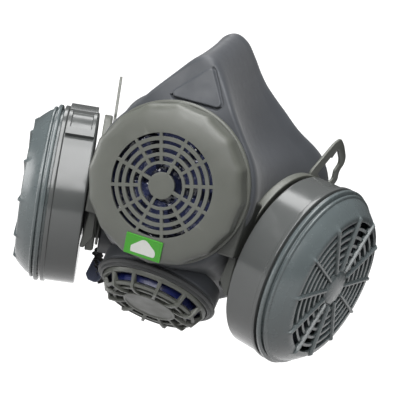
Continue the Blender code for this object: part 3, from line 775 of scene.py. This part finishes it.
def port_plate(side, word):
    lip = fillet(((22.4, PLATE_BACK), (PLATE_R - 0.5, PLATE_BACK), (PLATE_R, PLATE_BACK + 0.8),
                  (PLATE_R, PLATE_FRONT), (PLATE_R - 1.9, PLATE_FRONT), (PLATE_R - 2.1, PLATE_FLOOR),
                  (22.4, PLATE_FLOOR)), 0.5, 3)

    def lobe(radius, angle):
        share = smooth((radius - 22.4) / 4.0)
        return radius + (plate_lobe(radius, angle) - radius) * share
    add_piece(f"port_plate_{word}", turned(lip, 192, lobe), PORT[word], HARD_GREY, "mask",
              (f"port_housing_{word}",))
    pipe = fillet(((BORE_R, -41.0), (PIPE_R, -41.0), (PIPE_R, -24.4), (22.8, -23.9),
                   (22.8, PLATE_FLOOR), (BORE_R, PLATE_FLOOR)), 0.4, 3)
    add_piece(f"port_pipe_{word}", turned(pipe, 96), PORT[word], HARD_GREY, "mask")
    # The arm and its web take the darkened grey: painted shade between the cap and the drum.
    add_piece(f"port_arm_{word}", arm_parts(side, word), CAP, ARM_SHADED_GREY, "mask",
              soft=1.6)
    add_piece(f"port_web_{word}", web_parts(side), CAP, ARM_SHADED_GREY, "mask", soft=0.8)


def arm_parts(side, word):
    """Arm that ties a port plate to the front housing, in the cap's frame."""
    to_cap = CAP.inverted() @ PORT[word]
    points = [Vector((side * x, z, -depth)) for x, z in ((29, 3), (38.5, 3), (29, -25), (37, -25))
              for depth in (14.4, 22)]
    for x, y in ((-36, 22), (-38.5, 6), (-37.5, 2), (-24, 26), (-24, 2)):
        for height in (PLATE_BACK - 1.5, PLATE_FLOOR - 0.3):
            points.append(to_cap @ Vector((side * x, y, height)))
    return hull(points)


def web_parts(side):
    """Upright web under the arm, down to the foot of the port plate."""
    points = []
    for x, z in ((34.2, -22.0), (35.4, -26.0), (32.4, -38.0), (36.0, -44.5)):
        points.append(Vector((side * x, z, -21.5)))
        points.append(Vector((side * (x + 2.6), z, -31.0)))
        points.append(Vector((side * (x + 2.2), z, -21.5)))
    return hull(points)


def port_pieces(word):
    place = PORT[word]
    nut = ((PIPE_R + 0.4, -41.0), (PORT_NUT_R, -41.0), (PORT_NUT_R, -38.3), (PIPE_R + 0.4, -38.3))
    notched = turned(fillet(nut, 0.4), 192,
                     lambda r, a: r - (0.6 * (r > 24) * (math.cos(24 * a) > 0.2)))
    add_piece(f"port_ring_nut_{word}", notched, place, HARD_GREY, "mask",
              (f"port_nut_{word}",))
    rim = BORE_R - 0.3
    outer = ((0, -36.2), (1.4, -36.2), (2.6, -36.2), (11.5, -36.2), (rim, -36.2))
    inner = ((0, -40.9), (1.4, -40.9), (2.6, -38.2), (11.5, -38.2), (rim, -38.2))
    steps = 12
    seat = pierced(outer, inner, rib_columns(4, 2.2, steps), steps,
                   lambda row, rib, in_slot: row == 2 and in_slot)
    add_piece(f"inlet_seat_{word}", seat, place, BLUE, "mask",
              (f"inhale_valve_seat_{word}",), soft=0.15)
    flap = fillet(((2.0, -39.2), (13.2, -39.4), (14.0, -39.2), (14.0, -38.6), (2.0, -38.6)), 0.2, 2)
    add_piece(f"inlet_flap_{word}", turned(flap, 96), place, SILICONE, f"inhale_flap_{word}",
              (f"inhale_valve_flap_{word}",))
    gasket = ((16.2, -22.5), (19.6, -22.5), (19.6, -18.8), (16.2, -18.8))
    add_piece(f"gasket_{word}", turned(fillet(gasket, 0.6)), place, DARK_RUBBER, "mask",
              (f"port_gasket_{word}",))


def harness_loop(side, word):
    """Ring round the port tube with an arm that ends in a strap loop."""
    ring_r, bore_r = 23.5, PIPE_R + 0.4
    arm = ((11, 44.5), (25.5, 60.8), (30.5, 63.4), (36.5, 60.2), (43.6, 54.0), (44.9, 50.2),
           (42.2, 45.4), (44.2, 40.6), (20.0, 11.0))
    slot = ((18.6, 43.6), (27.2, 53.6), (28.2, 52.2), (29.4, 54.6), (31.4, 57.4), (38.0, 51.9),
            (39.2, 49.6), (36.8, 45.8), (38.4, 41.2), (33.5, 37.6))
    around = [(ring_r * math.cos(a), ring_r * math.sin(a))
              for a in (math.radians(100 + 290 * k / 70) for k in range(71))]
    bore = [(bore_r * math.cos(math.tau * k / 72), bore_r * math.sin(math.tau * k / 72))
            for k in range(72)]
    outlines = (around + fillet(arm[::-1], 1.8, 3), bore, fillet(slot, 1.2, 3))
    curve_data = bpy.data.curves.new(f"loop_{word}", "CURVE")
    curve_data.dimensions = "2D"
    curve_data.fill_mode = "BOTH"
    curve_data.extrude = 0.35
    curve_data.bevel_depth = 0.35
    curve_data.bevel_resolution = 2
    curve_data.offset = -0.35
    for outline in outlines:
        spline = curve_data.splines.new("POLY")
        spline.points.add(len(outline) - 1)
        spline.use_cyclic_u = True
        for point, (x, y) in zip(spline.points, outline):
            point.co = (side * x, y, 0, 1)
    helper = put(f"loop_{word}", curve_data)
    mesh = bpy.data.meshes.new_from_object(helper)
    bpy.data.objects.remove(helper)
    bm = bmesh.new()
    bm.from_mesh(mesh)
    bmesh.ops.remove_doubles(bm, verts=bm.verts, dist=0.001)
    bmesh.ops.recalc_face_normals(bm, faces=bm.faces)
    bm.to_mesh(mesh)
    bm.free()
    mesh.transform(PORT[word] @ Matrix.Translation(Vector((0, 0, -26.6))))
    add_mesh(f"strap_loop_{word}", mesh, HARD_GREY, f"loop_{word}",
             (f"harness_loop_{word}",))


# ---------------------------------------------------------------- cartridges
def cartridge(word):
    place, body = PORT[word], f"cartridge_{word}"
    r, back = DRUM_R, DRUM_BACK
    drum = ((12.8, SPIGOT_END), (15.5, SPIGOT_END), (15.5, back), (r - 0.6, back, 0.4),
            (r - 0.05, back + 0.6, 0.4), (r, -3.5, 0.2), (r + 0.9, -3.2, 0.3), (r + 1.0, -1.2, 0.4),
            (r - 0.9, -0.9, 0.2), (r - 1.6, -1.2, 0.2), (r - 1.6, back + 1.8), (12.8, back + 1.8))
    add_piece(f"drum_{word}", turned(fillet(drum, 0.4), 192), place, BODY_GREY, body,
              (f"cartridge_body_{word}",))
    for name, height in (("rear_grid", -15.4), ("front_grid", -5.6)):
        radii = (0, 6, 14, 16, 22, 26, 34, 36, 41, 43)
        steps = 6
        grid = pierced([(x, height) for x in radii], [(x, height - 0.8) for x in radii],
                       rib_columns(12, 2.0, steps), steps,
                       lambda row, rib, in_slot: row in (1, 3, 5, 7) and in_slot)
        add_piece(f"{name}_disc_{word}", grid, place, WHITE, body,
                  (f"{name}_{word}",))
    bed = fillet(((0, -14.8), (r - 2.0, -14.8), (r - 2.0, -6.8), (0, -6.8)), 0.8)
    add_piece(f"carbon_bed_{word}", turned(bed), place, CARBON, body,
              (f"sorbent_bed_{word}",))
    pad = fillet(((0, -5.2), (40.4, -5.2), (40.4, 1.6), (36.0, 2.6), (0, 2.8)), 1.2)
    add_piece(f"felt_pad_{word}", turned(pad), place, FELT, body,
              (f"filter_pad_{word}",))


def drum_pad():
    """Raised block with a sunk panel on the drum of the wearer's right cartridge."""
    low, high, edge, step = DRUM_BACK + 0.7, -3.9, 1.7, 0.25
    start, panel_from, panel_to, stop = 51.0, 57.0, 75.5, 93.0
    heights = [low, low + edge, low + edge + step, high - edge - step, high - edge, high]
    angles = [start, (start + panel_from) / 2, panel_from]
    angles += [panel_from + 0.3 + (panel_to - panel_from - 0.3) * k / 6 for k in range(7)]
    angles += [panel_to + 0.3 + (stop - panel_to - 0.3) * k / 5 for k in range(6)]

    def rise(angle, z):
        if panel_from < angle <= panel_to and low + edge < z < high - edge:
            return 1.1
        return 2.7 if angle > panel_to else 1.9
    vertices, faces = [], []
    for layer in (0, 1):
        for angle in angles:
            turn = math.radians(angle)
            for z in heights:
                r = DRUM_R + (rise(angle, z) if layer else -0.8)
                vertices.append((r * math.cos(turn), r * math.sin(turn), z))
    rows, count = len(angles), len(heights)

    def at(layer, row, column):
        return (layer * rows + row) * count + column
    for layer in (0, 1):
        for i in range(rows - 1):
            for j in range(count - 1):
                faces.append((at(layer, i, j), at(layer, i, j + 1),
                              at(layer, i + 1, j + 1), at(layer, i + 1, j)))
    for i in range(rows - 1):
        for j in (0, count - 1):
            faces.append((at(0, i, j), at(0, i + 1, j), at(1, i + 1, j), at(1, i, j)))
    for j in range(count - 1):
        for i in (0, rows - 1):
            faces.append((at(0, i, j), at(0, i, j + 1), at(1, i, j + 1), at(1, i, j)))
    add_piece("drum_pad", (vertices, faces), PORT["right"], BODY_GREY, "cartridge_right",
              soft=0.3, sharp=20)


def cartridge_cover(word):
    top, r = COVER_TOP, DRUM_R
    pitch, width, first = 4.35, 2.8, 9.8
    proud = 1.1
    outer = [(0, top + 0.9), (7.4, top + 0.9), (8.2, top + 0.5), (8.6, top)]
    rise = [0.0, 0.0, 0.2, 0.0]
    for slot in range(COVER_SLOTS):
        low = first + pitch * slot
        outer += [(low, top), (low + width, top)]
        rise += [proud, proud]
    slot_rows = range(4, 4 + 2 * COVER_SLOTS, 2)
    inner = [(x, top - 1.6) for x, _ in outer]
    edge = COVER_GRILLE_R
    outer += [(edge + 0.5, top), (edge + 1.4, top - 0.5), (edge + 1.9, top - 1.0)]
    rise += [proud, 0.55, 0.0]
    inner += [(edge - 0.1, top - 1.6), (edge + 0.3, top - 1.9), (edge + 0.8, top - 2.4)]
    cone = ((edge + 4.0, top - 3.2), (edge + 6.2, top - 5.8), (r - 1.9, 5.0), (r - 1.7, 4.7),
            (r - 0.8, 4.6), (r - 0.4, 4.2), (r - 0.4, 3.5), (r - 0.8, 3.1), (r - 1.5, 2.9),
            (r - 1.5, 2.3), (r + 0.6, 2.2), (r + 0.95, 1.9), (r + 0.95, 0.6),
            (r + 0.7, 0.3), (r - 1.8, 0.25), (r - 2.0, COVER_LOW))
    under = ((edge + 2.8, top - 4.4), (edge + 4.6, top - 6.6), (r - 3.9, 4.4), (r - 3.8, 4.0),
             (r - 3.7, 3.6), (r - 3.7, 3.2), (r - 3.7, 2.9), (r - 3.7, 2.6), (r - 3.7, 2.3),
             (r - 3.6, 2.0), (r - 3.6, 1.6), (r - 3.6, 1.3), (r - 3.6, 0.9),
             (r - 3.6, 0.5), (r - 3.6, 0.2), (r - 3.6, COVER_LOW))
    outer += cone
    inner += under
    rise += [0.0] * len(cone)
    steps = 12
    columns = rib_columns(COVER_RIBS, 1.9, steps, COVER_TURN, 0.55)
    parts = pierced(outer, inner, columns, steps,
                    lambda row, rib, in_slot: row in slot_rows and in_slot, rise)
    add_piece(f"cover_shell_{word}", parts, PORT[word], COVER_GREY, f"cover_{word}",
              (f"cartridge_cover_{word}",), soft=0.14)


# ---------------------------------------------------------------- exhalation valve
def exhale_cover():
    hub, edge, shoulder = HUB_R, DOME_EDGE, DOME_SHOULDER
    proud = 1.2
    outer = ((0, -0.5), (hub - 1.6, -0.5), (hub - 1.2, 0.0), (hub - 0.3, 0.0), (hub, -0.3),
             (18.0, -0.4), (19.6, -0.4), (edge - 1.2, -0.5), (edge - 0.2, -0.8), (edge + 0.3, -1.5),
             (shoulder, -5.35), (shoulder + 0.5, -5.9), (DOME_R - 0.4, -6.2), (DOME_R, -6.7),
             (DOME_R, DOME_BACK))
    inner = ((0, -1.9), (hub - 1.6, -1.9), (hub - 1.2, -1.9), (hub - 0.3, -1.9), (hub, -1.9),
             (18.0, -2.0), (19.6, -2.0), (edge - 1.9, -2.1), (edge - 1.5, -2.3), (edge - 1.1, -2.9),
             (shoulder - 1.6, -5.7), (shoulder - 1.3, -6.3), (25.1, -6.8), (25.4, -7.2),
             (25.6, DOME_BACK))
    rise = (0, 0, 0, 0, 0, proud, proud, proud, proud + 0.3, 1.5, 0.5, 0, 0, 0, 0)
    steps = 10
    parts = pierced(outer, inner, rib_columns(12, 1.8, steps, math.radians(15), 0.8), steps,
                    lambda row, rib, in_slot: row in (4, 6, 9) and in_slot, rise)
    add_piece("valve_dome", parts, VALVE, HARD_GREY, "exhale_guard",
              ("exhale_cover",), soft=0.14)


def exhale_inside():
    outer = ((0, -2.4), (1.2, -2.4), (1.4, -2.8), (1.5, -6.4), (3.0, -6.4), (17.0, -6.4),
             (17.4, -5.4), (19.6, -5.4), (20.0, -3.6), (21.3, -3.6), (21.9, -9.0), (27.2, -9.0))
    inner = ((0, -8.4), (1.2, -8.4), (1.4, -8.4), (1.6, -8.4), (3.0, -8.4), (17.0, -8.4),
             (17.4, -8.8), (19.2, -12.0), (19.8, -17.0), (21.9, -17.0), (22.0, -10.2), (27.2, -10.2))
    steps = 12
    parts = pierced(outer, inner, rib_columns(6, 2.0, steps), steps,
                    lambda row, rib, in_slot: row == 4 and in_slot)
    add_piece("valve_seat", parts, VALVE, BLUE, "mask", ("exhale_valve_seat",),
              soft=0.15)
    flap = fillet(((2.0, -5.0), (19.0, -5.0), (19.0, -4.4), (17.5, -4.2), (2.0, -4.3)), 0.25, 2)
    add_piece("valve_flap", turned(flap, 96), VALVE, DARK_RUBBER, "exhale_flap",
              ("exhale_valve_flap",))
    clamp = ((27.6, -10.3), (30.7, -10.3, 0.8), (31.1, -9.2, 0.8), (30.0, -8.2, 0.6),
             (29.3, -8.6, 0.3), (28.6, -7.2, 0.5), (27.6, -7.2, 0.4))
    add_piece("collar_lip", turned(fillet(clamp, 0.4), 128), VALVE, DARK_RUBBER, "mask",
              ("exhale_clamp_ring",))


# ---------------------------------------------------------------- neck strap
def neck_strap(side, word):
    """Gathered end of the elastic neck strap and its pull tab."""
    low, high = (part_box(f"neck_strap_{word}")[k] / MM for k in (0, 1))
    middle = (low + high) / 2
    top, bottom = high.z, low.z
    rows, around, half, thick = 60, 16, 5.6, 1.25
    inward, tab_inward = 2.4, 7.4   # how much closer to the valve than the CAD solids
    lean = (high.x - low.x - 2.2) / 2
    vertices, faces = [], []
    for i in range(rows + 1):
        t = i / rows
        z = top + (bottom - top) * t
        x = middle.x - inward * side + side * lean * math.cos(math.pi * t) * 0.9
        y = middle.y + 1.5 * (t - 0.5)
        gather = 0.55 * math.sin(t * 34) + 0.3 * math.sin(t * 71 + 1.0)
        for j in range(around):
            a = math.tau * j / around
            vertices.append((x + (thick + 0.25 * math.cos(t * 47)) * math.cos(a) + gather,
                             y + half * math.sin(a) * (1 + 0.06 * math.sin(t * 53)), z))
    for i in range(rows):
        for j in range(around):
            n = (j + 1) % around
            faces.append((i * around + j, i * around + n, (i + 1) * around + n, (i + 1) * around + j))
    faces.append(tuple(range(around)))
    faces.append(tuple(rows * around + j for j in range(around)))
    add_piece(f"elastic_{word}", (vertices, faces), Matrix.Scale(MM, 4), WEBBING, "mask",
              (f"neck_strap_{word}",))
    low, high = (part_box(f"strap_tab_{word}")[k] / MM for k in (0, 1))
    middle = (low + high) / 2 + Vector((-tab_inward * side, -1.0, -1.0))
    place = local_frame(middle * MM, (side * 0.25, -0.95, 0.15))
    outline = fillet(((-3.4, 5.6), (-4.9, -3.6), (-2.4, -6.0), (2.6, -6.0), (4.9, -3.4), (3.2, 5.6)),
                     2.4, 6)
    add_piece(f"pull_tab_{word}", plate_parts(outline, -0.9, 0.9), place, TAB, "mask",
              (f"strap_tab_{word}",), soft=0.6)


# ---------------------------------------------------------------- studio
def area_light(name, location, target, size, radiance, roll=0.0):
    """Rectangular softbox of a given brightness, turned about its own axis."""
    light = bpy.data.lights.new(name, "AREA")
    light.shape = "RECTANGLE"
    light.size, light.size_y = size
    light.energy = radiance * math.pi * size[0] * size[1]
    aim = (Vector(target) - Vector(location)).to_track_quat("-Z", "Y").to_matrix().to_4x4()
    put(name, light).matrix_world = (Matrix.Translation(Vector(location)) @ aim
                                     @ Matrix.Rotation(math.radians(roll), 4, "Z"))


def backdrop():
    """Pale floor below the object and a sweep behind it that only the camera sees."""
    level = CAD_BOX[0].z - 0.075
    half, foot, radius, height = 4.0, 0.5, 0.5, 0.85
    sweep = [(foot + radius * math.sin(a), level + radius - radius * math.cos(a))
             for a in (math.radians(3 * k) for k in range(31))]
    sweep.append((foot + radius, level + height))
    paint, shader = new_material("backdrop_paint", (0.30, 0.30, 0.30), 0.9)
    shader.inputs["Specular IOR Level"].default_value = 0.1
    shader.inputs["Emission Color"].default_value = (1, 1, 1, 1)
    shader.inputs["Emission Strength"].default_value = 0.85
    for name, profile in (("floor", [(-0.9, level), (foot, level)]), ("sweep", sweep)):
        vertices = [(x, y, z) for y, z in profile for x in (-half, half)]
        faces = [(2 * k, 2 * k + 1, 2 * k + 3, 2 * k + 2) for k in range(len(profile) - 1)]
        mesh = bpy.data.meshes.new(name)
        mesh.from_pydata(vertices, [], faces)
        mesh.shade_smooth()
        mesh.materials.append(paint)
        made = put(name, mesh)
        made.visible_diffuse = False
        made.visible_glossy = name == "floor"


def studio():
    scene = bpy.context.scene
    scene.view_settings.view_transform = "Standard"
    world = bpy.data.worlds.new("studio")
    world.use_nodes = True
    world.node_tree.nodes["Background"].inputs["Color"].default_value = (1, 1, 1, 1)
    world.node_tree.nodes["Background"].inputs["Strength"].default_value = 0.09
    scene.world = world
    area_light("long_strip", (0.40, -1.62, 1.0), (0.40, -1.62, 0.0), (0.58, 2.83), 8.8, 18.4)
    area_light("top_strip", (-0.17, 0.06, 1.0), (-0.17, 0.06, 0.0), (0.52, 0.72), 6.8, 18.4)
    area_light("back_strip", (-0.66, 1.0, 1.0), (-0.66, 1.0, 0.0), (0.34, 0.7), 4.5, 21.6)
    area_light("front_softbox", (-0.50, -2.0, 1.15), (0, -0.05, 0), (0.9, 0.9), 11.0)
    area_light("left_fill", (-1.4, -0.30, -0.10), (0, -0.03, 0), (0.8, 0.9), 7.0)
    backdrop()


def camera():
    """Camera a little to the wearer's left, above, and rolled clockwise."""
    azimuth, elevation, roll = (math.radians(a) for a in (12.79, 10.31, 14.94))
    target, distance, focal = Vector((0.01868, -0.085, -0.00091)), 0.39952, 82.25
    back = Vector((math.sin(azimuth) * math.cos(elevation),
                   -math.cos(azimuth) * math.cos(elevation), math.sin(elevation)))
    right = (-back).cross(Vector((0, 0, 1))).normalized()
    up = right.cross(-back)
    x = right * math.cos(roll) + up * math.sin(roll)
    y = up * math.cos(roll) - right * math.sin(roll)
    data = bpy.data.cameras.new("camera")
    data.lens = focal
    data.sensor_width = 36
    data.clip_start = 0.01
    made = put("camera", data)
    turn = Matrix((x, y, back)).transposed().to_4x4()
    made.matrix_world = Matrix.Translation(target + back * distance) @ turn
    bpy.context.scene.camera = made


front_cap()
cap_sticker()
front_housing()
front_port_pieces()
facepiece()
exhale_cover()
exhale_inside()
for side, word in SIDES:
    port_plate(side, word)
    port_pieces(word)
    harness_loop(side, word)
    cartridge(word)
    cartridge_cover(word)
    neck_strap(side, word)
drum_pad()
studio()
camera()
